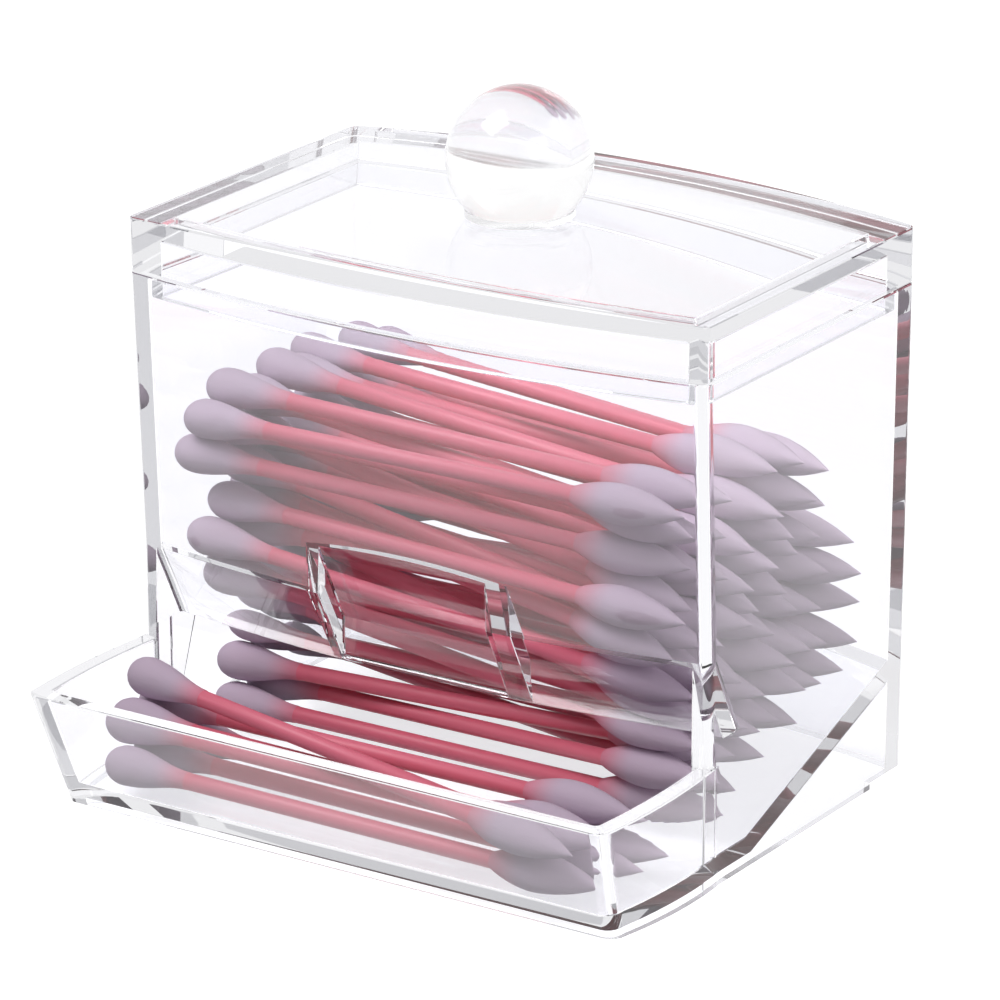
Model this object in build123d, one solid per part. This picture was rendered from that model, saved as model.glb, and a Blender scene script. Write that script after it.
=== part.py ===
from build123d import *
import math
import os
import random

import numpy as np

# A clear cotton swab dispenser: a moulded box with a ramp and a front tray, a lift-off lid with a
# ball knob, and a filling of double-ended cotton swabs. Millimetres, +X to the right along the
# front, +Y to the back, +Z up. The origin is on the table, under the middle of the whole object.

# Box, outside sizes
width = 86.0
corner_depth = 50.0
rim_height = 65.7
bow = 4.0
corner_radius = 1.3
wall = 2.5
front_lean = 1.4
back_lean = 1.4

# Front wall below its kink, and the finger scoop in the middle of it
kink_height = 29.0
baffle_drop = 10.6
baffle_slant = 5.2
scoop_width = 25.0
scoop_rise = 6.5

# Tray
tray_reach = 23.5
tray_foot_reach = 18.0
tray_height = 16.0
tray_rim_width = 87.0
tray_foot_width = 83.6
tray_side_bow = 0.8
tray_corner_radius = 2.0

# Floor, ramp and the underside
floor_top = 3.2
floor_thickness = 2.2
ramp_start = 11.5
ramp_rise = 12.8
ramp_thickness = 2.5
heel_length = 8.0
heel_lift = 0.9

# Lid and knob
lid_band = 7.3
lid_top_thickness = 3.0
lid_crown = 0.9
skirt_depth = 3.3
skirt_thickness = 1.5
skirt_clearance = 0.3
knob_radius = 9.4
knob_flat_below = 7.3
knob_foot_radius = 7.0
knob_foot_height = 0.9

# Swabs
swab_count = 44
swab_sides = 8
tray_swabs = 6
swab_length = 75.0
stick_radius = 1.25
bud_radius = 2.6
bud_end_radius = 1.2
bud_shoulder = 3.2
bud_length = 14.0
point_radius = 2.45
point_belly = 9.0
point_length = 17.0
point_end_radius = 0.25
swab_gap = 0.12
heap_top = 57.5
tray_heap_top = 11.6
drops_each = 3
heap_seed = 11

# Values that follow from the sizes above; y is 0 on the line of the front corners of the rim
half_width = width / 2
middle = (corner_depth + bow - tray_reach) / 2
baffle_bottom = kink_height - baffle_drop
scoop_top = kink_height + scoop_rise
scoop_bow = bow * (1 - (scoop_width / width) ** 2)
ramp_end = corner_depth - wall
ramp_slope = ramp_rise / (ramp_end - ramp_start)
tray_back = front_lean + wall
lid_bottom = rim_height
lid_top = rim_height + lid_band


def front_at(z):
    """The outer front face at height z, on the line of the corners."""
    if z >= kink_height:
        return front_lean * (rim_height - z) / (rim_height - kink_height)
    return front_lean + baffle_slant * (kink_height - z) / baffle_drop


def back_at(z):
    """The outer back face at height z, on the line of the corners."""
    return corner_depth - back_lean * (rim_height - z) / rim_height


def outline(z, inset=0.0, front=None):
    """The bow-fronted plan outline of the box at height z, moved in by inset."""
    x = half_width - inset
    y0 = (front_at(z) if front is None else front) + inset
    y1 = back_at(z) - inset
    edges = [
        ThreePointArc((-x, y0), (0, y0 - bow), (x, y0)),
        Line((x, y0), (x, y1)),
        ThreePointArc((x, y1), (0, y1 + bow), (-x, y1)),
        Line((-x, y1), (-x, y0)),
    ]
    face = make_face(edges)
    face = fillet(face.vertices(), max(corner_radius - inset, 0.5))
    return Pos(0, 0, z) * face


def side_prism(points, x0, x1):
    """A prism from x0 to x1 on the (y, z) points of a side profile."""
    face = Plane.YZ * make_face(Polyline(*points, close=True))
    return Pos(x0, 0, 0) * extrude(face, x1 - x0, dir=(1, 0, 0))


# Box

def hopper_volume(inset):
    """The hopper above the baffle's lower edge; an inset one runs past both ends to cut."""
    over = 1.0 if inset else 0.0
    kink = outline(kink_height, inset)
    upper = loft([kink, Pos(0, 0, over) * outline(rim_height, inset)], ruled=True)
    lower = loft([Pos(0, 0, -over) * outline(baffle_bottom, inset), kink], ruled=True)
    return upper + lower


def scoop_volume(inset):
    """What the finger scoop takes out of the front, or with an inset the room behind its wall."""
    reach = 20.0
    edge_y = front_at(baffle_bottom) - scoop_bow + inset
    top_y = front_at(scoop_top) - scoop_bow + inset
    fall = (edge_y - top_y) * baffle_drop / baffle_slant
    low = baffle_bottom - (2.0 if inset else 1.0)
    points = [
        (top_y - reach, scoop_top),
        (top_y, scoop_top),
        (edge_y, scoop_top - fall),
        (edge_y, low),
        (top_y - reach, low),
    ]
    x = scoop_width / 2 + inset
    return side_prism(points, -x, x)


def hopper_walls():
    """Front wall, baffle, scoop, sides and back down to the baffle's lower edge, in one shell."""
    outside = hopper_volume(0) - scoop_volume(0)
    inside = hopper_volume(wall) - scoop_volume(wall)
    return outside - inside


def lower_volume(inset):
    """The space between the sides and the back below the kink, with an upright front."""
    over = 1.0 if inset else 0.0
    bottom = Pos(0, 0, -over) * outline(0, inset, front=front_lean)
    top = Pos(0, 0, over) * outline(kink_height, inset, front=front_lean)
    return loft([bottom, top], ruled=True)


def lower_walls():
    """The sides and the back below the kink; the front between them is open."""
    x = half_width - wall
    open_front = [
        (-2 * bow, -1.0),
        (tray_back, -1.0),
        (tray_back, kink_height + 1.0),
        (-2 * bow, kink_height + 1.0),
    ]
    return lower_volume(0) - lower_volume(wall) - side_prism(open_front, -x, x)


def tray_outline(z, inset=0.0):
    """Plan outline of the tray at height z; its sides flare and bow between floor and rim."""
    share = z / tray_height
    front_y = -(tray_foot_reach + (tray_reach - tray_foot_reach) * share) + inset
    front_x = (tray_foot_width + (tray_rim_width - tray_foot_width) * share) / 2 - inset
    back_x = half_width - inset
    back_y = tray_back + inset
    side_x = (front_x + back_x) / 2 + tray_side_bow
    side_y = (front_y + back_y) / 2
    edges = [
        Line((-front_x, front_y), (front_x, front_y)),
        ThreePointArc((front_x, front_y), (side_x, side_y), (back_x, back_y)),
        Line((back_x, back_y), (-back_x, back_y)),
        ThreePointArc((-back_x, back_y), (-side_x, side_y), (-front_x, front_y)),
    ]
    face = make_face(edges)
    corners = face.vertices().sort_by(Axis.Y)[:2]
    face = fillet(corners, max(tray_corner_radius - inset, 0.6))
    return Pos(0, 0, z) * face


def tray():
    """The open tray in front: flared walls on a floor with a shallow recess under it."""
    outside = loft([tray_outline(0), tray_outline(tray_height)], ruled=True)
    inside = loft([tray_outline(floor_top, wall), tray_outline(tray_height + 1, wall)], ruled=True)
    recess_top = floor_top - floor_thickness
    recess = extrude(tray_outline(0, wall), recess_top, dir=(0, 0, 1))
    return outside - inside - recess


def floor_and_ramp():
    """The floor under the front wall and the ramp that rises from it to the back wall."""
    x = half_width - wall / 2
    low = floor_top - floor_thickness
    back_y = corner_depth + bow
    back_z = floor_top + (back_y - ramp_start) * ramp_slope
    drop = ramp_thickness * math.hypot(1, ramp_slope)
    joint = ramp_start + (drop - floor_thickness) / ramp_slope
    points = [
        (tray_back - 1.0, low),
        (joint, low),
        (back_y, back_z - drop),
        (back_y, back_z),
        (ramp_start, floor_top),
        (tray_back - 1.0, floor_top),
    ]
    return side_prism(points, -x, x) & lower_volume(0)


def box():
    """The whole moulding, with the short lift under its heel."""
    body = hopper_walls() + lower_walls() + tray() + floor_and_ramp()
    heel = side_prism(
        [
            (back_at(0) - heel_length, -1.0),
            (corner_depth + 2 * bow, -1.0),
            (corner_depth + 2 * bow, heel_lift),
            (back_at(0) - heel_length, heel_lift),
        ],
        -width,
        width,
    )
    return body - heel


# Lid

def crowned_block(z0):
    """The lid's outside from z0 up, cut off by the crown that runs across its top."""
    profile = make_face([
        Line((-width, z0), (width, z0)),
        Line((width, z0), (width, lid_top - 3 * lid_crown)),
        ThreePointArc(
            (width, lid_top - 3 * lid_crown),
            (0, lid_top + lid_crown),
            (-width, lid_top - 3 * lid_crown),
        ),
        Line((-width, lid_top - 3 * lid_crown), (-width, z0)),
    ])
    bar = extrude(Plane.XZ * profile, 2 * corner_depth, both=True)
    plan = extrude(Pos(0, 0, z0 - rim_height) * outline(rim_height), 2 * lid_band, dir=(0, 0, 1))
    return bar & plan


def lid():
    """Crowned top, deep band that is flush with the box, and the skirt that drops inside it."""
    inset = wall + skirt_clearance
    block = crowned_block(lid_bottom)
    skirt = Pos(0, 0, -skirt_depth) * extrude(outline(rim_height, inset), skirt_depth, dir=(0, 0, 1))
    recess = outline(rim_height, inset + skirt_thickness)
    height = skirt_depth + lid_band - lid_top_thickness
    hollow = Pos(0, 0, -skirt_depth) * extrude(recess, height, dir=(0, 0, 1))
    return block + skirt - hollow


def knob():
    """The ball, cut flat underneath, on the low foot by which it is bonded to the lid."""
    seat = lid_top + lid_crown
    ball = Pos(0, corner_depth / 2, seat + knob_flat_below) * Sphere(knob_radius)
    below = Pos(0, corner_depth / 2, seat - knob_radius) * Box(
        4 * knob_radius, 4 * knob_radius, 2 * knob_radius)
    foot = Pos(0, corner_depth / 2, seat + knob_foot_height / 2) * Cylinder(
        knob_foot_radius, knob_foot_height)
    return (ball - below) + foot


# Swabs

def swab_profile(s):
    """Radius of a swab at the distance s from its rounded end."""
    return np.interp(
        s,
        [-0.01, 0, bud_shoulder, bud_length, bud_length + 0.01,
         swab_length - point_length - 0.01, swab_length - point_length,
         swab_length - point_belly, swab_length, swab_length + 0.01],
        [0, bud_end_radius, bud_radius, stick_radius + 0.15, stick_radius,
         stick_radius, stick_radius + 0.15, point_radius, point_end_radius, 0],
    )


def swab(tail, tip):
    """One swab from its rounded end to its pointed one, a stick with cotton wound on both ends.

    There are many of them, so each is a solid of flat facets through rings of few corners.
    """
    stations = [
        (bud_end_radius, 0),
        (bud_radius, bud_shoulder),
        (stick_radius, bud_length),
        (stick_radius, swab_length - point_length),
        (point_radius, swab_length - point_belly),
        (point_end_radius, swab_length),
    ]
    turns = [2 * math.pi * k / swab_sides for k in range(swab_sides + 1)]
    rings = [[Vector(r * math.cos(t), r * math.sin(t), z) for t in turns] for r, z in stations]
    faces = [Face(Wire.make_polygon(ring[:-1])) for ring in (rings[0], rings[-1])]
    for low, high in zip(rings, rings[1:]):
        for k in range(swab_sides):
            corners = [low[k], low[k + 1], high[k + 1], high[k]]
            faces.append(Face(Wire.make_polygon(corners)))
    return Plane(origin=tail, z_dir=tip - tail).location * Solid(Shell(faces))


# Heap of swabs. Each one lies roughly along X and is let down until it rests on what is there.
# Its place is four numbers: y and z of its axis at the left and at the right end of a span.
# Room is measured in slices across X, where a swab is a disc and each wall is a line.

span = 60.0
slices = np.arange(-38.4, 38.41, 2.4)
slice_bow = bow * (1 - (slices / half_width) ** 2)


def disc_radii(place, shift):
    """The largest radius of a swab around each slice."""
    run = math.hypot(span, place[2] - place[0], place[3] - place[1])
    stretch = run / span
    s = (slices - shift) * stretch + swab_length / 2
    around = [swab_profile(s + d * stretch) for d in (-1.2, -0.6, 0.0, 0.6, 1.2)]
    return np.max(around, axis=0) * stretch


def disc_centres(place):
    """Where a swab's axis passes through each slice."""
    share = slices / span + 0.5
    y = place[0] + (place[2] - place[0]) * share
    z = place[1] + (place[3] - place[1]) * share
    return np.stack([y, z], axis=1)


def wall_lines():
    """For every slice, the middle lines of the front wall and the back wall as (start, end)."""
    over = rim_height + 40.0
    fall = (front_at(baffle_bottom) - front_at(scoop_top)) * baffle_drop / baffle_slant
    corner = [(0.0, over), (0.0, rim_height), (front_lean, kink_height),
              (front_at(baffle_bottom), baffle_bottom)]
    scoop = [(0.0, over), (front_at(scoop_top), scoop_top),
             (front_at(baffle_bottom), scoop_top - fall),
             (front_at(baffle_bottom), baffle_bottom)]
    lines = []
    for x, curve in zip(slices, slice_bow):
        path = scoop if abs(x) < scoop_width / 2 + wall else corner
        points = [(y + wall / 2 - curve, z) for y, z in path]
        back = [(back_at(0) - wall / 2 + curve, 0.0), (corner_depth - wall / 2 + curve, over)]
        lines.append([*zip(points, points[1:]), tuple(back)])
    return np.array(lines)


walls = wall_lines()


def room(place, shift, heap):
    """The smallest distance from a swab to the walls, the floors and the swabs in the heap."""
    radii = disc_radii(place, shift)
    centres = disc_centres(place)
    start = walls[:, :, 0]
    along = walls[:, :, 1] - start
    offset = centres[:, None] - start
    share = np.clip((offset * along).sum(2) / (along ** 2).sum(2), 0, 1)
    gaps = np.linalg.norm(offset - share[..., None] * along, axis=2) - wall / 2
    y, z = centres.T
    ramp = (z - floor_top - (y - ramp_start) * ramp_slope) / math.hypot(1, ramp_slope)
    flare = (tray_reach - tray_foot_reach) / tray_height
    front = (y + tray_foot_reach - wall + flare * z) / math.hypot(1, flare)
    near = np.min([gaps.min(axis=1), z - floor_top, ramp, front], axis=0) - radii
    least = near[radii > 0].min()
    for other_centres, other_radii in heap:
        touching = (radii > 0) & (other_radii > 0)
        apart = np.linalg.norm(centres - other_centres, axis=1) - radii - other_radii
        least = min(least, apart[touching].min())
    return least


def let_down(place, shift, heap, slide, draw):
    """Lower a swab step by step, sliding sideways down slopes steeper than the angle slide."""
    side = draw.choice((-1, 1))
    moves = [(0, -1, 0, -1), (0, -1, 0, 0), (0, 0, 0, -1)]
    for angle in (math.radians(60), slide):
        across = math.cos(angle)
        down = -math.sin(angle)
        for way in (side, -side):
            moves += [
                (way * across, down, way * across, down),
                (way * across, down, 0, 0),
                (0, 0, way * across, down),
            ]
    moves = np.array(moves)
    for step in (1.6, 0.8, 0.4, 0.2, 0.1):
        moved = True
        while moved:
            moved = False
            for move in moves:
                trial = place + step * move
                steep = max(abs(trial[0] - trial[2]), abs(trial[1] - trial[3])) > 9.0
                if not steep and room(trial, shift, heap) >= swab_gap:
                    place = trial
                    moved = True
                    break
    return place


def drop(heap, to_tray, draw):
    """Let one swab down from a chance place above the tray or the hopper, or return None."""
    top = tray_height if to_tray else rim_height
    near, far = (5 - tray_foot_reach, -6) if to_tray else (4, corner_depth - 4)
    y = draw.uniform(near, far)
    turn = draw.uniform(-1, 1) * (2.5 if to_tray else 5.5)
    shift = draw.uniform(-1.2, 1.2)
    place = np.array([y - turn, top + 12.0, y + turn, top + 12.0])
    if room(place, shift, heap) < swab_gap:
        return None
    place = let_down(place, shift, heap, math.radians(33), draw)
    centres = disc_centres(place)
    radii = disc_radii(place, shift)
    if (centres[:, 1] + radii).max() > (tray_heap_top if to_tray else heap_top):
        return None
    return place, shift, centres, radii


def fill():
    """Fill the tray and then the hopper, keeping the lowest of a few drops each time."""
    draw = random.Random(heap_seed)
    heap = []
    swabs = []
    for index in range(swab_count):
        to_tray = index < tray_swabs
        drops = [drop(heap, to_tray, draw) for _ in range(drops_each)]
        drops = [found for found in drops if found]
        if not drops:
            continue
        place, shift, centres, radii = min(drops, key=lambda found: found[0][1] + found[0][3])
        heap.append((centres, radii))
        axis = Vector(span, place[2] - place[0], place[3] - place[1]).normalized()
        share = shift / span
        centre = Vector(
            shift,
            (place[0] + place[2]) / 2 + share * (place[2] - place[0]),
            (place[1] + place[3]) / 2 + share * (place[3] - place[1]),
        )
        half = axis * (swab_length / 2)
        swabs.append((centre - half, centre + half))
    return swabs


def main():
    os.makedirs("parts", exist_ok=True)
    nodes = {"dispenser_box": box(), "lid": lid(), "ball_knob": knob()}
    for index, (tail, tip) in enumerate(fill(), start=1):
        nodes[f"swab_{index:02d}"] = swab(tail, tip)
    for name, shape in nodes.items():
        export_step(Pos(0, -middle, 0) * shape, f"parts/{name}.step")


main()
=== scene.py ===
"""Clear cotton swab dispenser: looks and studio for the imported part, laid out as an add-on."""

import math
import random

import bmesh
import bpy
import numpy as np
from bpy.props import FloatProperty, FloatVectorProperty, IntProperty, PointerProperty
from mathutils import Matrix, Vector


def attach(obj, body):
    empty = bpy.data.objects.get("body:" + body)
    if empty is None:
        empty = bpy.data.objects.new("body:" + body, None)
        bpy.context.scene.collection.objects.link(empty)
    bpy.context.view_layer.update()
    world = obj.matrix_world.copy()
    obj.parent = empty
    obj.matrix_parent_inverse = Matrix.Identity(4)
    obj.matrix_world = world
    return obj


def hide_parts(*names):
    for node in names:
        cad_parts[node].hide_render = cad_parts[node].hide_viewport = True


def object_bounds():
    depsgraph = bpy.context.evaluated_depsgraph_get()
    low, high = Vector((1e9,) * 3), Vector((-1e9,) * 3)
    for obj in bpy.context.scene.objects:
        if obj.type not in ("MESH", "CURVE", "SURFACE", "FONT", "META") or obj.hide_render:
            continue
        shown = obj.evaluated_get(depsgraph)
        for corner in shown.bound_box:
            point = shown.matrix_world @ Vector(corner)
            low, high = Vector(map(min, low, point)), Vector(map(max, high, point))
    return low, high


bl_info = {
    "name": "Cotton Swab Dispenser",
    "version": (1, 0, 0),
    "blender": (4, 5, 0),
    "location": "View3D > Sidebar > Swabs",
    "description": "Builds a clear lidded box full of cotton swabs around its packed frame",
    "category": "Object",
}

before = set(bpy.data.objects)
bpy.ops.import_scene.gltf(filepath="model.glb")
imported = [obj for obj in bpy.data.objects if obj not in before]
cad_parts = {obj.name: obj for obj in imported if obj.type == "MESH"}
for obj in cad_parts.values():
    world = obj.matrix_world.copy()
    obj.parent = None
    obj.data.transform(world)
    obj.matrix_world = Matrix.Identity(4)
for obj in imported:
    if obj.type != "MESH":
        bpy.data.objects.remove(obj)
cad_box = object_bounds()

MM = 0.001

# Sizes of the moulding, as in the frame, in mm
WIDTH = 86.0
DEPTH = 50.0
RIM = 65.7
BOW = 4.0
CORNER_RADIUS = 1.3
WALL = 2.5
FRONT_LEAN = 1.4
BACK_LEAN = 1.4
KINK = 29.0
BAFFLE_DROP = 10.6
BAFFLE_SLANT = 5.2
BAFFLE_BOTTOM = KINK - BAFFLE_DROP
SCOOP_WIDTH = 25.0
SCOOP_TOP = KINK + 6.5
SCOOP_BOW = BOW * (1 - (SCOOP_WIDTH / WIDTH) ** 2)
TRAY_REACH = 23.5
TRAY_FOOT_REACH = 18.0
TRAY_HEIGHT = 16.0
TRAY_RIM_WIDTH = 87.0
TRAY_FOOT_WIDTH = 83.6
TRAY_SIDE_BOW = 0.8
TRAY_CORNER_RADIUS = 2.0
TRAY_BACK = FRONT_LEAN + WALL
FLOOR_TOP = 3.2
FLOOR_THICKNESS = 2.2
RAMP_START = 11.5
RAMP_SLOPE = 12.8 / (DEPTH - WALL - RAMP_START)
RAMP_THICKNESS = 2.5
HEEL_LENGTH = 8.0
HEEL_LIFT = 0.9
LID_TOP = RIM + 7.3
LID_TOP_THICKNESS = 3.0
LID_CROWN = 0.9
SKIRT_DEPTH = 3.3
SKIRT_THICKNESS = 1.5
SKIRT_CLEARANCE = 0.3
KNOB_RADIUS = 9.4
KNOB_FLAT_BELOW = 7.3
KNOB_FOOT_RADIUS = 7.0
KNOB_FOOT_HEIGHT = 0.9
MIDDLE = (DEPTH + BOW - TRAY_REACH) / 2
BOW_STEPS = 46
CORNER_STEPS = 5


def linear(hex_colour):
    """An sRGB hex colour as linear red, green and blue."""
    channels = [int(hex_colour[i:i + 2], 16) / 255 for i in (1, 3, 5)]
    return [c / 12.92 if c <= 0.04045 else ((c + 0.055) / 1.055) ** 2.4 for c in channels]


class SwabBoxSizes(bpy.types.PropertyGroup):
    """Sizes of the visible pieces."""

    edge_radius: FloatProperty(
        name="Edge radius",
        description="Rounding on the moulding's edges",
        default=0.25 * MM,
        unit="LENGTH",
    )
    swab_length: FloatProperty(
        name="Swab length",
        description="From the rounded end of a swab to its pointed end",
        default=75 * MM,
        unit="LENGTH",
    )
    stick_radius: FloatProperty(
        name="Stick radius",
        description="Radius of the plastic stick",
        default=1.1 * MM,
        unit="LENGTH",
    )
    bud_radius: FloatProperty(
        name="Bud radius",
        description="Largest radius of the rounded cotton bud",
        default=2.6 * MM,
        unit="LENGTH",
    )
    point_radius: FloatProperty(
        name="Point radius",
        description="Largest radius of the pointed cotton bud",
        default=2.6 * MM,
        unit="LENGTH",
    )
    tray_extra: IntProperty(
        name="More in the tray",
        description="Swabs laid in the tray on top of the frame's own",
        default=4,
    )
    hopper_extra: IntProperty(
        name="More in the box",
        description="Swabs laid in the box on top of the frame's own",
        default=60,
    )


class SwabBoxColours(bpy.types.PropertyGroup):
    """Colours of the materials."""

    plastic: FloatVectorProperty(
        name="Clear plastic",
        description="Tint of the clear moulding",
        subtype="COLOR",
        default=linear("#F8F8FB"),
    )
    knob: FloatVectorProperty(
        name="Knob",
        description="Tint of the ball knob",
        subtype="COLOR",
        default=linear("#FFFFFF"),
    )
    cotton: FloatVectorProperty(
        name="Cotton",
        description="Bleached cotton of the buds",
        subtype="COLOR",
        default=linear("#D2BED2"),
    )
    stick: FloatVectorProperty(
        name="Stick",
        description="Pink plastic of the sticks",
        subtype="COLOR",
        default=linear("#F07890"),
    )
    floor: FloatVectorProperty(
        name="Floor",
        description="Studio floor",
        subtype="COLOR",
        default=linear("#BCBCBC"),
    )


# Materials

def add_node(tree, kind, settings=None, links=None):
    """A new node of that kind, with its attributes and sockets set and its inputs linked."""
    node = tree.nodes.new(kind)
    for name, value in (settings or {}).items():
        if name in node.inputs:
            node.inputs[name].default_value = value
        else:
            setattr(node, name, value)
    for name, source in (links or {}).items():
        tree.links.new(source, node.inputs[name])
    return node


def new_material(name):
    """An empty node material and its tree."""
    material = bpy.data.materials.new(name)
    material.use_nodes = True
    material.node_tree.nodes.clear()
    return material, material.node_tree


def looked_at(tree):
    """1 for light that the camera gets straight, mirrored or bent; 0 for light that lamps a piece."""
    path = add_node(tree, "ShaderNodeLightPath")
    seen = path.outputs["Is Camera Ray"]
    for name in ("Is Glossy Ray", "Is Transmission Ray"):
        either = add_node(tree, "ShaderNodeMath", {"operation": "MAXIMUM"})
        tree.links.new(seen, either.inputs[0])
        tree.links.new(path.outputs[name], either.inputs[1])
        seen = either.outputs[0]
    fresh = add_node(tree, "ShaderNodeMath", {"operation": "LESS_THAN"})
    tree.links.new(path.outputs["Diffuse Depth"], fresh.inputs[0])
    fresh.inputs[1].default_value = 0.5
    both = add_node(tree, "ShaderNodeMath", {"operation": "MULTIPLY"})
    tree.links.new(seen, both.inputs[0])
    tree.links.new(fresh.outputs[0], both.inputs[1])
    return both.outputs[0]


def crystal_polystyrene(name, colour, roughness):
    """Injection-moulded crystal polystyrene: water clear, with polished faces."""
    turns = 2.5
    material, tree = new_material(name)
    plastic = add_node(tree, "ShaderNodeBsdfPrincipled", {
        "Base Color": (*colour, 1),
        "Roughness": roughness,
        "IOR": 1.59,
        "Transmission Weight": 1.0,
    })
    path = add_node(tree, "ShaderNodeLightPath")
    # Painted shade at the edges: light that has run to and fro inside a wall more than twice goes
    # straight on, darkened by a grey tint, which paints a grey line along the edges in place of further
    # bending
    late = add_node(tree, "ShaderNodeMath", {"operation": "GREATER_THAN"})
    tree.links.new(path.outputs["Glossy Depth"], late.inputs[0])
    late.inputs[1].default_value = turns
    # painted shade: grey tint that draws the dark lines along the plastic's edges
    painted_edge_grey = add_node(tree, "ShaderNodeBsdfTransparent", {"Color": (0.82, 0.82, 0.83, 1)})
    inside = add_node(tree, "ShaderNodeMixShader")
    tree.links.new(late.outputs[0], inside.inputs[0])
    tree.links.new(plastic.outputs[0], inside.inputs[1])
    tree.links.new(painted_edge_grey.outputs[0], inside.inputs[2])
    # Lamps shine through the clear walls on the swabs inside
    open_to_lamps = add_node(tree, "ShaderNodeBsdfTransparent", {"Color": (0.93, 0.93, 0.93, 1)})
    mix = add_node(tree, "ShaderNodeMixShader")
    tree.links.new(path.outputs["Is Shadow Ray"], mix.inputs[0])
    tree.links.new(inside.outputs[0], mix.inputs[1])
    tree.links.new(open_to_lamps.outputs[0], mix.inputs[2])
    add_node(tree, "ShaderNodeOutputMaterial", links={"Surface": mix.outputs[0]})
    return material


def wound_cotton(colour, stick):
    """Bleached cotton wound on a stick: soft and matt, and so thin at its foot that pink shows."""
    material, tree = new_material("wound_cotton")
    place = add_node(tree, "ShaderNodeTexCoord")
    along = add_node(tree, "ShaderNodeSeparateXYZ", links={"Vector": place.outputs["Object"]})
    # Foot of the rounded bud, and foot of the pointed one
    thin = []
    for start, end, low, high in ((7.5, 12.8, 0, 1), (58.5, 65.0, 1, 0)):
        thin.append(add_node(tree, "ShaderNodeMapRange", {
            "interpolation_type": "SMOOTHSTEP",
            "From Min": start * MM,
            "From Max": end * MM,
            "To Min": low,
            "To Max": high,
        }, {"Value": along.outputs["Z"]}))
    foot = add_node(tree, "ShaderNodeMath", {"operation": "MINIMUM"})
    for socket, node in zip(foot.inputs, thin):
        tree.links.new(node.outputs[0], socket)
    share = add_node(tree, "ShaderNodeMath", {"operation": "MULTIPLY"})
    tree.links.new(foot.outputs[0], share.inputs[0])
    share.inputs[1].default_value = 0.7
    shade = add_node(tree, "ShaderNodeMixRGB", {
        "Color1": (*colour, 1),
        "Color2": (*stick, 1),
    }, {"Fac": share.outputs[0]})
    # Fibres of about 0.25 mm, coarser than real ones so that they show
    stretch = add_node(tree, "ShaderNodeMapping", {"Scale": (1, 1, 0.35)},
                       {"Vector": place.outputs["Object"]})
    fibres = add_node(tree, "ShaderNodeTexNoise", {
        "Scale": 1 / (0.25 * MM) / 4,
        "Detail": 2,
        "Roughness": 0.7,
    }, {"Vector": stretch.outputs[0]})
    bump = add_node(tree, "ShaderNodeBump", {"Strength": 0.4, "Distance": 0.12 * MM},
                    {"Height": fibres.outputs["Fac"]})
    cotton = add_node(tree, "ShaderNodeBsdfPrincipled", {
        "Roughness": 0.95,
        "IOR": 1.45,
        "Specular IOR Level": 0.2,
    }, {"Base Color": shade.outputs[0], "Normal": bump.outputs[0]})
    add_node(tree, "ShaderNodeOutputMaterial", links={"Surface": cotton.outputs[0]})
    return material


def extruded_polypropylene(colour):
    """Extruded polypropylene: the pink stick, smooth and a little waxy."""
    material, tree = new_material("extruded_polypropylene")
    plastic = add_node(tree, "ShaderNodeBsdfPrincipled", {
        "Base Color": (*colour, 1),
        "Roughness": 0.4,
        "IOR": 1.49,
    })
    add_node(tree, "ShaderNodeOutputMaterial", links={"Surface": plastic.outputs[0]})
    return material


# Meshes

def new_object(name, mesh, materials, moulded=False):
    """A scene object on that mesh, with its material slots filled.

    On a moulded piece the large faces keep their own normals and only the roundings turn.
    """
    piece = bpy.data.objects.new(name, mesh)
    if moulded:
        normals = piece.modifiers.new("face_normals", "WEIGHTED_NORMAL")
        normals.weight = 80
        normals.keep_sharp = True
    for material in materials:
        mesh.materials.append(material)
    bpy.context.collection.objects.link(piece)
    return piece


def solid_through(rings):
    """A closed mesh through rings of (x, y, z) points in mm, each a front chain and a back chain.

    Both chains run from left to right over the same x, so the two ends close with plain strips.
    """
    count = len(rings[0])
    half = count // 2
    loop = [*range(half), *reversed(range(half, count))]
    mesh = bmesh.new()
    rows = [[mesh.verts.new(Vector(p) * MM) for p in ring] for ring in rings]
    for low, high in zip(rows, rows[1:]):
        for i, j in zip(loop, loop[1:] + loop[:1]):
            mesh.faces.new((low[i], low[j], high[j], high[i]))
    for row, way in ((rows[0], -1), (rows[-1], 1)):
        for i in range(half - 1):
            corners = (row[i], row[i + 1], row[half + i + 1], row[half + i])
            mesh.faces.new(corners[::way])
    bmesh.ops.recalc_face_normals(mesh, faces=mesh.faces)
    return mesh


def prism(points, x0, x1):
    """A closed mesh from x0 to x1 on the (y, z) points of a side profile, in mm."""
    mesh = bmesh.new()
    ends = [[mesh.verts.new(Vector((x, y, z)) * MM) for y, z in points] for x in (x0, x1)]
    mesh.faces.new(ends[0])
    mesh.faces.new(reversed(ends[1]))
    for k in range(len(points)):
        n = (k + 1) % len(points)
        mesh.faces.new((ends[0][k], ends[1][k], ends[1][n], ends[0][n]))
    bmesh.ops.recalc_face_normals(mesh, faces=mesh.faces)
    return mesh


def scratch(mesh):
    """A scratch object that holds the mesh while solids are cut and joined."""
    data = bpy.data.meshes.new("scratch")
    mesh.to_mesh(data)
    mesh.free()
    holder = bpy.data.objects.new("scratch", data)
    bpy.context.collection.objects.link(holder)
    return holder


def combine(first, *steps):
    """Cut, join or intersect meshes one after the other; every step is (mesh, operation)."""
    body = scratch(first)
    for mesh, operation in steps:
        tool = scratch(mesh)
        cut = body.modifiers.new("cut", "BOOLEAN")
        cut.object = tool
        cut.operation = operation
        cut.solver = "EXACT"
        evaluated = body.evaluated_get(bpy.context.evaluated_depsgraph_get())
        done = bpy.data.meshes.new_from_object(evaluated)
        body.modifiers.clear()
        body.data = done
        bpy.data.objects.remove(tool)
    result = bmesh.new()
    result.from_mesh(body.data)
    bpy.data.objects.remove(body)
    return result


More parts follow.
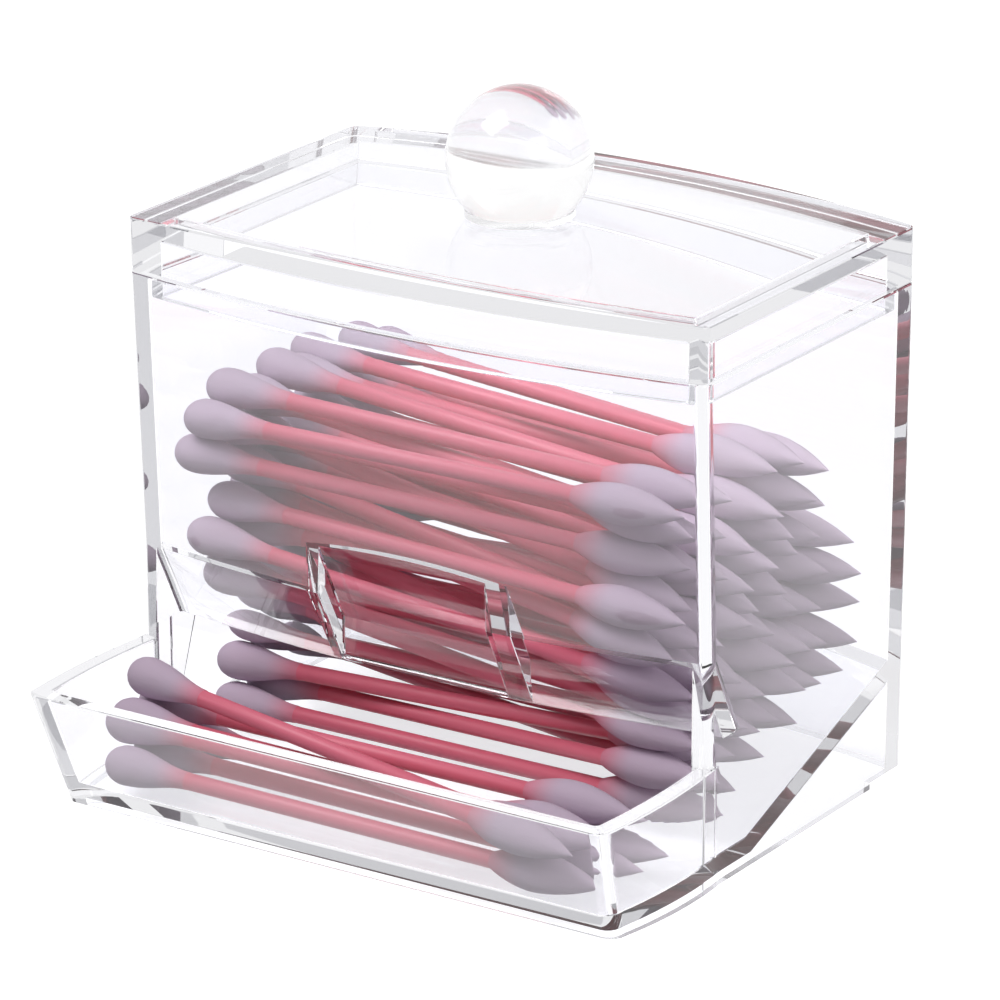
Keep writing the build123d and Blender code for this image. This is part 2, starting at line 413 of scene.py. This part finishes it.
def stays_crisp(edge):
    """True for edges too close together to round: under the foot, and where the posts end."""
    middle = (edge.verts[0].co + edge.verts[1].co) / 2 / MM
    under = middle.z < 1.2
    post = (abs(middle.z - BAFFLE_BOTTOM) < 0.7 and middle.y < 8
            and WIDTH / 2 - WALL - 1 < abs(middle.x) < WIDTH / 2 - 0.1)
    return under or post


def finish_mesh(mesh, name, radius):
    """Round the sharp edges, move the mesh into the frame's place and shade it smooth."""
    bmesh.ops.remove_doubles(mesh, verts=mesh.verts, dist=0.02 * MM)
    bmesh.ops.dissolve_degenerate(mesh, dist=0.02 * MM, edges=mesh.edges)
    sharp = [e for e in mesh.edges if e.is_manifold and e.calc_face_angle(0) > math.radians(30)
             and not stays_crisp(e)]
    bmesh.ops.bevel(
        mesh, geom=sharp, offset=radius, segments=2, profile=0.5, affect="EDGES",
        clamp_overlap=False)
    bmesh.ops.translate(mesh, verts=mesh.verts, vec=(0, -MIDDLE * MM, 0))
    open_edges = sum(1 for e in mesh.edges if not e.is_manifold)
    if open_edges:
        print(name, "has open edges:", open_edges)
    data = bpy.data.meshes.new(name)
    mesh.to_mesh(data)
    mesh.free()
    data.shade_smooth()
    data.set_sharp_from_angle(angle=math.radians(20))
    return data


# Shape of the moulding, in mm, with y = 0 on the line of the rim's front corners

def front_at(z):
    """The outer front face at height z, on the line of the corners."""
    if z >= KINK:
        return FRONT_LEAN * (RIM - z) / (RIM - KINK)
    return FRONT_LEAN + BAFFLE_SLANT * (KINK - z) / BAFFLE_DROP


def back_at(z):
    """The outer back face at height z, on the line of the corners."""
    return DEPTH - BACK_LEAN * (RIM - z) / RIM


def chain(x_half, y, bow, radius, out):
    """A bowed edge from left to right with a rounded corner at each end; out is -1 or 1."""
    big = (x_half ** 2 + bow ** 2) / (2 * bow)
    centre = y - out * (big - bow)
    reach = x_half - radius
    corner_y = centre + out * math.sqrt((big - radius) ** 2 - reach ** 2)
    lean = math.atan2(reach, out * (corner_y - centre))
    corner = []
    for k in range(CORNER_STEPS + 1):
        turn = math.pi / 2 + (lean - math.pi / 2) * k / CORNER_STEPS
        corner.append((reach + radius * math.sin(turn), corner_y + out * radius * math.cos(turn)))
    arc = []
    for k in range(1, BOW_STEPS):
        turn = lean * (1 - 2 * k / BOW_STEPS)
        arc.append((big * math.sin(turn), centre + out * big * math.cos(turn)))
    right_to_left = corner + arc + [(-x, y) for x, y in reversed(corner)]
    return right_to_left[::-1]


def outline(z, inset=0.0, front=None, level=None):
    """Ring of the bow-fronted plan at height z, moved in by inset; level overrides its z."""
    x_half = WIDTH / 2 - inset
    radius = max(CORNER_RADIUS - inset, 0.5)
    y0 = (front_at(z) if front is None else front) + inset
    y1 = back_at(z) - inset
    height = z if level is None else level
    points = chain(x_half, y0, BOW, radius, -1) + chain(x_half, y1, BOW, radius, 1)
    return [(x, y, height) for x, y in points]


def hopper_volume(inset):
    """The hopper above the baffle's lower edge, with the finger scoop taken out of its front."""
    over = 1.0 if inset else 0.0
    rings = [
        outline(BAFFLE_BOTTOM - over, inset),
        outline(KINK, inset),
        outline(RIM + over, inset),
    ]
    edge_y = front_at(BAFFLE_BOTTOM) - SCOOP_BOW + inset
    top_y = front_at(SCOOP_TOP) - SCOOP_BOW + inset
    fall = (edge_y - top_y) * BAFFLE_DROP / BAFFLE_SLANT
    low = BAFFLE_BOTTOM - (3.0 if inset else 1.0)
    reach = 20.0
    points = [
        (top_y - reach, SCOOP_TOP + reach * BAFFLE_DROP / BAFFLE_SLANT),
        (edge_y, SCOOP_TOP - fall),
        (edge_y, low),
        (top_y - reach, low),
    ]
    x = SCOOP_WIDTH / 2 + inset
    return combine(solid_through(rings), (prism(points, -x, x), "DIFFERENCE"))


def lower_walls():
    """Sides and back under the baffle's edge, and the two posts in front of the baffle."""
    low = combine(
        solid_through([
            outline(0, front=FRONT_LEAN),
            outline(BAFFLE_BOTTOM, front=FRONT_LEAN),
        ]),
        (solid_through([
            outline(-1.0, WALL, FRONT_LEAN),
            outline(BAFFLE_BOTTOM + 1.0, WALL, FRONT_LEAN),
        ]), "DIFFERENCE"),
    )
    posts = solid_through([
        outline(BAFFLE_BOTTOM, front=FRONT_LEAN),
        outline(KINK, front=FRONT_LEAN),
    ])
    far = 200.0
    behind = BAFFLE_SLANT + FRONT_LEAN + WALL / 2
    keep = [(-far, -far), (behind, -far), (behind, far), (-far, far)]
    between = [(-far, -far), (far, -far), (far, far), (-far, far)]
    x = WIDTH / 2 - WALL
    open_front = [
        (-2 * BOW, -1.0),
        (TRAY_BACK, -1.0),
        (TRAY_BACK, KINK + 1.0),
        (-2 * BOW, KINK + 1.0),
    ]
    posts = combine(
        posts,
        (prism(keep, -far, far), "INTERSECT"),
        (prism(between, -x, x), "DIFFERENCE"),
    )
    return combine(low, (prism(open_front, -x, x), "DIFFERENCE"), (posts, "UNION"))


def tray_ring(z, inset=0.0, level=None):
    """Ring of the tray's flared, bowed plan at height z."""
    share = z / TRAY_HEIGHT
    front_y = -(TRAY_FOOT_REACH + (TRAY_REACH - TRAY_FOOT_REACH) * share) + inset
    front_x = (TRAY_FOOT_WIDTH + (TRAY_RIM_WIDTH - TRAY_FOOT_WIDTH) * share) / 2 - inset
    back_x = WIDTH / 2 - inset
    back_y = TRAY_BACK + inset
    radius = max(TRAY_CORNER_RADIUS - inset, 0.6)
    height = z if level is None else level
    corner = []
    for k in range(CORNER_STEPS + 1):
        turn = math.pi / 2 * k / CORNER_STEPS
        corner.append((front_x - radius + radius * math.sin(turn),
                       front_y + radius - radius * math.cos(turn)))
    side = []
    steps = 10
    for k in range(1, steps + 1):
        part = k / steps
        swell = 4 * part * (1 - part) * TRAY_SIDE_BOW
        side.append((front_x + (back_x - front_x) * part + swell,
                     front_y + radius + (back_y - front_y - radius) * part))
    right = corner + side
    return [(x, y, height) for x, y in right], back_y


def tray_solid(levels):
    """A closed mesh through tray rings at (z, inset, level)."""
    mesh = bmesh.new()
    rows = []
    for z, inset, level in levels:
        right, _ = tray_ring(z, inset, level)
        ring = [(-x, y, h) for x, y, h in reversed(right)] + right
        rows.append([mesh.verts.new(Vector(p) * MM) for p in ring])
    count = len(rows[0])
    for low, high in zip(rows, rows[1:]):
        for k in range(count):
            n = (k + 1) % count
            mesh.faces.new((low[k], low[n], high[n], high[k]))
    mesh.faces.new(rows[0])
    mesh.faces.new(rows[-1])
    bmesh.ops.recalc_face_normals(mesh, faces=mesh.faces)
    return mesh


def floor_and_ramp():
    """The floor under the front wall and the ramp that rises to the back wall."""
    x = WIDTH / 2 - WALL / 2
    low = FLOOR_TOP - FLOOR_THICKNESS
    back_y = DEPTH + BOW
    back_z = FLOOR_TOP + (back_y - RAMP_START) * RAMP_SLOPE
    drop = RAMP_THICKNESS * math.hypot(1, RAMP_SLOPE)
    joint = RAMP_START + (drop - FLOOR_THICKNESS) / RAMP_SLOPE
    points = [
        (TRAY_BACK - 1.0, low),
        (joint, low),
        (back_y, back_z - drop),
        (back_y, back_z),
        (RAMP_START, FLOOR_TOP),
        (TRAY_BACK - 1.0, FLOOR_TOP),
    ]
    inside = solid_through([
        outline(-1.0, WALL / 2, FRONT_LEAN - 3),
        outline(KINK, WALL / 2, FRONT_LEAN - 3),
    ])
    return combine(prism(points, -x, x), (inside, "INTERSECT"))


def box_mesh():
    """The whole moulding, with the short lift under its heel."""
    hopper = combine(hopper_volume(0), (hopper_volume(WALL), "DIFFERENCE"))
    top = TRAY_HEIGHT
    tray = combine(
        tray_solid([(0, 0, None), (top, 0, None)]),
        (tray_solid([(FLOOR_TOP, WALL, None), (top + 1, WALL, None)]), "DIFFERENCE"),
        (tray_solid([(0, WALL, -1.0), (0, WALL, FLOOR_TOP - FLOOR_THICKNESS)]), "DIFFERENCE"),
    )
    heel_y = back_at(0) - HEEL_LENGTH
    far = 100.0
    heel = [(heel_y, -far), (far, -far), (far, HEEL_LIFT), (heel_y, HEEL_LIFT)]
    return combine(
        hopper,
        (lower_walls(), "UNION"),
        (tray, "UNION"),
        (floor_and_ramp(), "UNION"),
        (prism(heel, -far, far), "DIFFERENCE"),
    )


def lid_mesh():
    """Crowned top, deep band and the skirt, as one skin from the ceiling round to the top."""
    def crowned(ring):
        side = WIDTH / 2
        return [(x, y, LID_TOP + LID_CROWN * (1 - (x / side) ** 2)) for x, y, _ in ring]

    skirt = WALL + SKIRT_CLEARANCE
    hollow = skirt + SKIRT_THICKNESS
    ceiling = LID_TOP - LID_TOP_THICKNESS
    return solid_through([
        outline(RIM, hollow, level=ceiling),
        outline(RIM, hollow, level=RIM - SKIRT_DEPTH),
        outline(RIM, skirt, level=RIM - SKIRT_DEPTH),
        outline(RIM, skirt, level=RIM + 0.03),
        outline(RIM, level=RIM + 0.03),
        crowned(outline(RIM)),
    ])


def knob_mesh():
    """The ball, cut flat underneath, on its low foot."""
    seat = LID_TOP + LID_CROWN
    centre = seat + KNOB_FLAT_BELOW
    foot_top = seat + KNOB_FOOT_HEIGHT
    low = math.asin((foot_top - centre) / KNOB_RADIUS)
    profile = [(0, seat), (KNOB_FOOT_RADIUS, seat), (KNOB_FOOT_RADIUS, foot_top)]
    steps = 40
    for k in range(steps + 1):
        turn = low + (math.pi / 2 - low) * k / steps
        radius = KNOB_RADIUS * math.cos(turn) if k < steps else 0
        profile.append((radius, centre + KNOB_RADIUS * math.sin(turn)))
    mesh = bmesh.new()
    verts = [mesh.verts.new(Vector((r, DEPTH / 2, z)) * MM) for r, z in profile]
    edges = [mesh.edges.new(pair) for pair in zip(verts, verts[1:])]
    bmesh.ops.spin(
        mesh, geom=verts + edges, cent=Vector((0, DEPTH / 2, 0)) * MM, axis=(0, 0, 1),
        angle=2 * math.pi, steps=80, use_merge=True)
    bmesh.ops.remove_doubles(mesh, verts=mesh.verts, dist=1e-6)
    bmesh.ops.recalc_face_normals(mesh, faces=mesh.faces)
    return mesh


def swab_profile(sizes):
    """(distance from the rounded end, radius, is cotton) along a swab, in metres."""
    stick = sizes.stick_radius
    bud = sizes.bud_radius
    point = sizes.point_radius
    length = sizes.swab_length
    rows = []
    # Rounded bud: a blunt dome, a belly, and a long taper down to the stick
    dome = 3.2 * MM
    for k in range(9):
        turn = math.pi / 2 * k / 8
        rows.append((dome * (1 - math.cos(turn)), bud * math.sin(turn) ** 0.9, True))
    for k in range(1, 10):
        share = k / 9
        ease = 1 - share * share * (3 - 2 * share)
        rows.append((dome + (12.5 * MM - dome) * share, stick * 1.06 + (bud - stick * 1.06) * ease,
                     True))
    # Stick
    rows.append((12.55 * MM, stick, False))
    rows.append((length / 2, stick, False))
    rows.append((length - 16.05 * MM, stick, False))
    # Pointed bud: it swells fast, stays full and runs out to a fine tip
    for k in range(9):
        share = k / 8
        swell = math.sin(math.pi / 2 * share) ** 0.9
        rows.append((length - (16 - 6.5 * share) * MM,
                     stick * 1.06 + (point - stick * 1.06) * swell, True))
    for k in range(1, 11):
        share = k / 10
        fall = 1 - share ** 1.8
        rows.append((length - 9.5 * MM * (1 - share), max(point * fall, 0.02 * MM), True))
    return rows


def swab_mesh(index, sizes):
    """One of a few slightly different swabs, lying from the origin along +Z."""
    sides = 22
    chance = random.Random(100 + index)
    waves = [(chance.randint(2, 5), chance.uniform(0, 6.3), chance.uniform(0.2, 0.9) / MM)
             for _ in range(5)]
    rows = swab_profile(sizes)
    verts = []
    for z, radius, cotton in rows:
        for k in range(sides):
            turn = 2 * math.pi * k / sides
            swell = 1.0
            if cotton:
                swell -= 0.03 * sum(math.sin(n * turn + phase + z * pitch)
                                    for n, phase, pitch in waves) / len(waves) + 0.012
            verts.append((radius * swell * math.cos(turn), radius * swell * math.sin(turn), z))
    faces = []
    kinds = []
    for row in range(len(rows) - 1):
        for k in range(sides):
            a = row * sides + k
            b = row * sides + (k + 1) % sides
            faces.append((a, b, b + sides, a + sides))
            kinds.append(0 if rows[row][2] and rows[row + 1][2] else 1)
    last = (len(rows) - 1) * sides
    faces.append(tuple(reversed(range(sides))))
    faces.append(tuple(range(last, last + sides)))
    kinds += [0, 0]
    mesh = bpy.data.meshes.new(f"swab_shape_{index}")
    mesh.from_pydata(verts, [], faces)
    mesh.polygons.foreach_set("material_index", kinds)
    mesh.shade_smooth()
    mesh.set_sharp_from_angle(angle=math.radians(50))
    return mesh


# Heap: the same settling as the frame's own swabs went through, carried on on top of them

SPAN = 60.0
SLICES = np.arange(-38.4, 38.41, 2.4)
GAP = 0.12


def radius_at(s):
    """Radius in mm of the room a swab needs at the distance s from its rounded end."""
    return np.interp(
        s,
        [-0.01, 0, 3.2, 14, 14.01, 57.99, 58, 66, 75, 75.01],
        [0, 1.2, 2.6, 1.4, 1.25, 1.25, 1.4, 2.45, 0.25, 0],
    )


def wall_lines():
    """For every slice, the middle lines of the front wall and the back wall."""
    corner = [(0.0, 105.7), (0.0, RIM), (1.4, KINK), (6.6, 18.4)]
    scoop = [(0.0, 105.7), (1.13, 35.5), (6.6, 24.4), (6.6, 18.4)]
    bow_at = BOW * (1 - (SLICES / 43) ** 2)
    lines = []
    for x, curve in zip(SLICES, bow_at):
        path = scoop if abs(x) < 15 else corner
        points = [(y + WALL / 2 - curve, z) for y, z in path]
        back = [(DEPTH - 1.4 - WALL / 2 + curve, 0.0), (DEPTH - WALL / 2 + curve, 105.7)]
        lines.append([*zip(points, points[1:]), tuple(back)])
    return np.array(lines)


WALLS = wall_lines()


class Heap:
    """Swabs that have come to rest, each as discs in slices across the box."""

    def __init__(self):
        self.centres = np.zeros((0, len(SLICES), 2))
        self.radii = np.zeros((0, len(SLICES)))

    def add(self, place, shift):
        self.centres = np.concatenate([self.centres, self.discs(place)[None]])
        self.radii = np.concatenate([self.radii, self.sizes(place, shift)[None]])

    @staticmethod
    def discs(place):
        share = SLICES / SPAN + 0.5
        y = place[0] + (place[2] - place[0]) * share
        z = place[1] + (place[3] - place[1]) * share
        return np.stack([y, z], axis=1)

    @staticmethod
    def sizes(place, shift):
        stretch = math.hypot(SPAN, place[2] - place[0], place[3] - place[1]) / SPAN
        s = (SLICES - shift) * stretch + 37.5
        around = [radius_at(s + d * stretch) for d in (-1.2, -0.6, 0.0, 0.6, 1.2)]
        return np.max(around, axis=0) * stretch

    def room(self, place, shift):
        """The smallest distance to the walls, the floors and the swabs at rest."""
        radii = self.sizes(place, shift)
        centres = self.discs(place)
        start = WALLS[:, :, 0]
        along = WALLS[:, :, 1] - start
        offset = centres[:, None] - start
        share = np.clip((offset * along).sum(2) / (along ** 2).sum(2), 0, 1)
        gaps = np.linalg.norm(offset - share[..., None] * along, axis=2) - WALL / 2
        y, z = centres.T
        slope = 12.8 / 36
        ramp = (z - 3.2 - (y - 11.5) * slope) / math.hypot(1, slope)
        flare = 5.5 / 16
        front = (y + 15.5 + flare * z) / math.hypot(1, flare)
        near = np.min([gaps.min(axis=1), z - 3.2, ramp, front], axis=0) - radii
        solid = radii > 0
        least = near[solid].min()
        if len(self.radii):
            apart = np.linalg.norm(self.centres - centres, axis=2) - self.radii - radii
            apart = apart[(self.radii > 0) & solid]
            least = min(least, apart.min())
        return least


def let_down(heap, place, shift, draw):
    """Lower a swab step by step until it rests, sliding down steep slopes."""
    side = draw.choice((-1, 1))
    moves = [(0, -1, 0, -1), (0, -1, 0, 0), (0, 0, 0, -1)]
    for angle in (math.radians(60), math.radians(33)):
        across = math.cos(angle)
        down = -math.sin(angle)
        for way in (side, -side):
            moves += [
                (way * across, down, way * across, down),
                (way * across, down, 0, 0),
                (0, 0, way * across, down),
            ]
    moves = np.array(moves)
    for step in (1.6, 0.8, 0.4, 0.2, 0.1):
        moved = True
        while moved:
            moved = False
            for move in moves:
                trial = place + step * move
                steep = max(abs(trial[0] - trial[2]), abs(trial[1] - trial[3])) > 9.0
                if not steep and heap.room(trial, shift) >= GAP:
                    place = trial
                    moved = True
                    break
    return place


def settle(heap, count, near, far, start, turn, top, draw):
    """(tail, tip) of swabs let down one by one; the lowest of three drops is kept."""
    found = []
    for _ in range(count):
        drops = []
        for _ in range(3):
            y = draw.uniform(near, far)
            tilt = draw.uniform(-turn, turn)
            shift = draw.uniform(-1.2, 1.2)
            place = np.array([y - tilt, start, y + tilt, start])
            if heap.room(place, shift) < GAP:
                continue
            place = let_down(heap, place, shift, draw)
            if (heap.discs(place)[:, 1] + heap.sizes(place, shift)).max() <= top:
                drops.append((place[1] + place[3], tuple(place), shift))
        if not drops:
            continue
        _, place, shift = min(drops)
        place = np.array(place)
        heap.add(place, shift)
        axis = Vector((SPAN, place[2] - place[0], place[3] - place[1])).normalized()
        share = shift / SPAN
        centre = Vector((
            shift,
            (place[0] + place[2]) / 2 + share * (place[2] - place[0]) - MIDDLE,
            (place[1] + place[3]) / 2 + share * (place[3] - place[1]),
        ))
        found.append(((centre - axis * 37.5) * MM, (centre + axis * 37.5) * MM))
    return found


def frame_swabs():
    """(node name, tail, tip) of every swab of the frame, read from its mesh."""
    rows = []
    for name in sorted(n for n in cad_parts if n.startswith("swab_")):
        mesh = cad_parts[name].data
        points = sorted({tuple(round(c, 7) for c in v.co) for v in mesh.vertices})
        tail = sum((Vector(p) for p in points[:8]), Vector()) / 8
        tip = sum((Vector(p) for p in points[-8:]), Vector()) / 8
        rows.append((name, tail, tip))
    return rows


# Operators

class SWABBOX_OT_box(bpy.types.Operator):
    """Give the moulded box its rounded edges and clear plastic"""

    bl_idname = "swabbox.box"
    bl_label = "Moulded box"

    def execute(self, context):
        sizes = context.scene.swab_box_sizes
        colours = context.scene.swab_box_colours
        clear = crystal_polystyrene("crystal_polystyrene", colours.plastic, 0.0)
        mesh = finish_mesh(box_mesh(), "moulded_box", sizes.edge_radius)
        box = new_object("moulded_box", mesh, [clear], moulded=True)
        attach(box, "box")
        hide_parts("dispenser_box")
        return {"FINISHED"}


class SWABBOX_OT_lid(bpy.types.Operator):
    """Give the lid and its ball knob their clear plastic"""

    bl_idname = "swabbox.lid"
    bl_label = "Lid and knob"

    def execute(self, context):
        sizes = context.scene.swab_box_sizes
        colours = context.scene.swab_box_colours
        clear = bpy.data.materials["crystal_polystyrene"]
        mesh = finish_mesh(lid_mesh(), "moulded_lid", sizes.edge_radius)
        lid = new_object("moulded_lid", mesh, [clear], moulded=True)
        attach(lid, "lid")
        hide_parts("lid")
        hazy = crystal_polystyrene("hazy_polystyrene", colours.knob, 0.1)
        mesh = finish_mesh(knob_mesh(), "moulded_knob", sizes.edge_radius / 5)
        knob = new_object("moulded_knob", mesh, [hazy])
        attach(knob, "lid")
        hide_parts("ball_knob")
        return {"FINISHED"}


class SWABBOX_OT_swabs(bpy.types.Operator):
    """Lay a finished swab on each one of the frame and fill up with more"""

    bl_idname = "swabbox.swabs"
    bl_label = "Cotton swabs"

    def execute(self, context):
        sizes = context.scene.swab_box_sizes
        colours = context.scene.swab_box_colours
        materials = [wound_cotton(colours.cotton, colours.stick), extruded_polypropylene(colours.stick)]
        shapes = [swab_mesh(index, sizes) for index in range(6)]
        for shape in shapes:
            for material in materials:
                shape.materials.append(material)
        draw = random.Random(7)
        heap = Heap()
        placed = []
        for name, tail, tip in frame_swabs():
            placed.append((name, tail, tip))
            centre = (tail + tip) / 2 / MM + Vector((0, MIDDLE, 0))
            step = (tip - tail) / (tip.x - tail.x)
            low = centre + step * (-SPAN / 2 - centre.x)
            high = centre + step * (SPAN / 2 - centre.x)
            heap.add(np.array([low.y, low.z, high.y, high.z]), centre.x)
        more = settle(heap, sizes.tray_extra, -13, -6, 28, 2.5, 19, draw)
        more += settle(heap, sizes.hopper_extra, 4, DEPTH - 4, RIM + 12, 8.0, 53, draw)
        placed += [(None, tail, tip) for tail, tip in more]
        for index, (node, tail, tip) in enumerate(placed, start=1):
            shape = shapes[draw.randrange(len(shapes))]
            swab = bpy.data.objects.new(f"cotton_swab_{index:02d}", shape)
            context.collection.objects.link(swab)
            turn = Matrix.Rotation(draw.uniform(0, 2 * math.pi), 4, "Z")
            aim = (tip - tail).to_track_quat("Z", "Y").to_matrix().to_4x4()
            swab.matrix_world = Matrix.Translation(tail) @ aim @ turn
            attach(swab, "box")
            if node:
                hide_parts(node)
        if len(placed) < 50:
            raise RuntimeError("too few swabs came to rest in the box")
        return {"FINISHED"}


class SWABBOX_OT_stage(bpy.types.Operator):
    """Set up the floor, the lamps, the surroundings and the camera"""

    bl_idname = "swabbox.stage"
    bl_label = "Studio stage"

    def execute(self, context):
        colours = context.scene.swab_box_colours
        scene = context.scene
        scene.view_settings.view_transform = "Standard"

        # Floor: pale, lit by the lamps, and lifted to white where it is looked at
        material, tree = new_material("studio_floor")
        lift = add_node(tree, "ShaderNodeMath", {"operation": "MULTIPLY"})
        tree.links.new(looked_at(tree), lift.inputs[0])
        lift.inputs[1].default_value = 0.92
        paper = add_node(tree, "ShaderNodeBsdfDiffuse", {"Color": (*colours.floor, 1)})
        glow = add_node(tree, "ShaderNodeEmission", links={"Strength": lift.outputs[0]})
        both = add_node(tree, "ShaderNodeAddShader")
        tree.links.new(paper.outputs[0], both.inputs[0])
        tree.links.new(glow.outputs[0], both.inputs[1])
        add_node(tree, "ShaderNodeOutputMaterial", links={"Surface": both.outputs[0]})
        mesh = bpy.data.meshes.new("studio_floor")
        reach = 6.0
        mesh.from_pydata(
            [(-reach, -reach, 0), (reach, -reach, 0), (reach, reach, 0), (-reach, reach, 0)],
            [], [(0, 1, 2, 3)])
        floor = new_object("studio_floor", mesh, [material])
        floor.location.z = cad_box[0][2] - 0.05 * MM

        # Surroundings: white where they are looked at, dimmer as a light on the swabs
        world = bpy.data.worlds.new("studio")
        world.use_nodes = True
        tree = world.node_tree
        tree.nodes.clear()
        fill = add_node(tree, "ShaderNodeBackground", {"Color": (1, 1, 1, 1), "Strength": 0.2})
        backdrop = add_node(tree, "ShaderNodeBackground", {"Color": (1, 1, 1, 1), "Strength": 1.0})
        mix = add_node(tree, "ShaderNodeMixShader")
        tree.links.new(looked_at(tree), mix.inputs[0])
        tree.links.new(fill.outputs[0], mix.inputs[1])
        tree.links.new(backdrop.outputs[0], mix.inputs[2])
        add_node(tree, "ShaderNodeOutputWorld", links={"Surface": mix.outputs[0]})
        scene.world = world

        # Softboxes: a strong one above to the left, a weaker one from the right, both half a metre wide
        for name, place, size, power in (
            ("softbox_left", (-0.35, -0.35, 0.85), 0.5, 4.2),
            ("softbox_right", (0.7, -0.3, 0.5), 0.5, 1.4),
        ):
            lamp = bpy.data.lights.new(name, "AREA")
            lamp.size = size
            lamp.energy = power
            lamp_object = bpy.data.objects.new(name, lamp)
            context.collection.objects.link(lamp_object)
            lamp_object.location = place
            aim = Vector((0, 0, 0.03)) - Vector(place)
            lamp_object.rotation_euler = aim.to_track_quat("-Z", "Y").to_euler()

        # Camera: found by matching the corners of the box and the lid to the photograph
        yaw, pitch, roll = (math.radians(a) for a in (33.614, 19.423, -0.318))
        focal = 6.0
        camera = bpy.data.cameras.new("camera")
        camera.sensor_width = 36.0
        camera.lens = focal * camera.sensor_width
        camera.clip_end = 20
        camera_object = bpy.data.objects.new("camera", camera)
        context.collection.objects.link(camera_object)
        forward = Vector((
            -math.sin(yaw) * math.cos(pitch),
            math.cos(yaw) * math.cos(pitch),
            -math.sin(pitch),
        ))
        right = Vector((math.cos(yaw), math.sin(yaw), 0))
        up = right.cross(forward)
        across = math.cos(roll) * right + math.sin(roll) * up
        upward = -math.sin(roll) * right + math.cos(roll) * up
        turn = Matrix((across, upward, -forward)).transposed().to_4x4()
        place = Matrix.Translation(Vector((398.18, -594.11, 290.84)) * MM)
        camera_object.matrix_world = place @ turn
        scene.camera = camera_object
        return {"FINISHED"}


class SWABBOX_PT_panel(bpy.types.Panel):
    """Lists the pieces and their sizes and colours"""

    bl_idname = "SWABBOX_PT_panel"
    bl_label = "Cotton swab dispenser"
    bl_space_type = "VIEW_3D"
    bl_region_type = "UI"
    bl_category = "Swabs"

    def draw(self, context):
        for group in (context.scene.swab_box_sizes, context.scene.swab_box_colours):
            for name in group.bl_rna.properties.keys():
                if name not in ("rna_type", "name"):
                    self.layout.prop(group, name)
        for operator in OPERATORS:
            self.layout.operator(operator.bl_idname)


OPERATORS = (SWABBOX_OT_box, SWABBOX_OT_lid, SWABBOX_OT_swabs, SWABBOX_OT_stage)
CLASSES = (SwabBoxSizes, SwabBoxColours, *OPERATORS, SWABBOX_PT_panel)


def register():
    for cls in CLASSES:
        bpy.utils.register_class(cls)
    bpy.types.Scene.swab_box_sizes = PointerProperty(type=SwabBoxSizes)
    bpy.types.Scene.swab_box_colours = PointerProperty(type=SwabBoxColours)


def unregister():
    del bpy.types.Scene.swab_box_colours
    del bpy.types.Scene.swab_box_sizes
    for cls in reversed(CLASSES):
        bpy.utils.unregister_class(cls)


def main():
    register()
    bpy.ops.swabbox.box()
    bpy.ops.swabbox.lid()
    bpy.ops.swabbox.swabs()
    bpy.ops.swabbox.stage()


if __name__ == "__main__":
    main()
